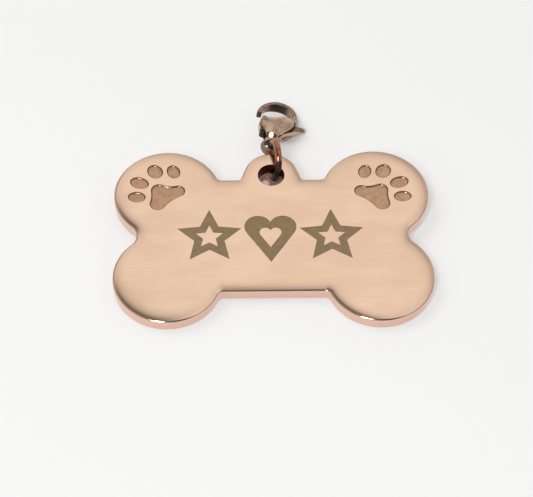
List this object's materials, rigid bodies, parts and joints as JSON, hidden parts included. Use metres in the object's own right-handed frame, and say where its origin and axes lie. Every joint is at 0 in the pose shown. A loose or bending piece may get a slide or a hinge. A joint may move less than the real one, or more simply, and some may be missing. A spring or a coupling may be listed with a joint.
{
  "type": "collar tag with clasp",
  "caption": "Bone-shaped metal collar tag with sunk paw prints, a wire jump ring through its tab, and a small lobster clasp with a sprung gate.",
  "frame": {"origin": "centre of the bone outline on the plain back face", "axes": "+X along the bone's length, +Y from the bone's middle towards its tab, +Z out of the face"},
  "size_m": [0.05, 0.0454, 0.0074],
  "materials": {
    "rose_gold_plate": "mirror-polished rose gold plating, paw prints matt and darker",
    "copper_wire": "polished copper-coloured plating",
    "bronze_clasp": "polished, warm bronze",
    "spring_steel": "bare strip"
  },
  "bodies": {
    "tag": {"tag_plate": "rose_gold_plate"},
    "ring": {"jump_ring": "copper_wire"},
    "clasp": {"clasp_body": "bronze_clasp", "lever_rivet": "bronze_clasp", "lever_spring": "spring_steel"},
    "lever": {"clasp_lever": "bronze_clasp"}
  },
  "joints": [
    {"name": "ring_turn", "type": "hinge", "parent": "tag", "child": "ring", "pos_m": [0.00056, 0.01498, 0.00177], "axis": [0.9752, 0.1371, -0.1736], "range_deg": [-6, 120]},
    {"name": "clasp_swing", "type": "hinge", "parent": "ring", "child": "clasp", "pos_m": [0.00008, 0.01779, 0.00127], "axis": [0.1452, 0.1958, 0.9698], "range_deg": [-60, 75]},
    {"name": "lever_open", "type": "hinge", "parent": "clasp", "child": "lever", "pos_m": [0.00145, 0.02179, 0.00021], "axis": [-0.1518, -0.2041, -0.9671], "range_deg": [0, 30], "stiffness_Nm_per_rad": 0.002, "springref_deg": -20.05, "deforming": ["lever_spring"]}
  ]
}
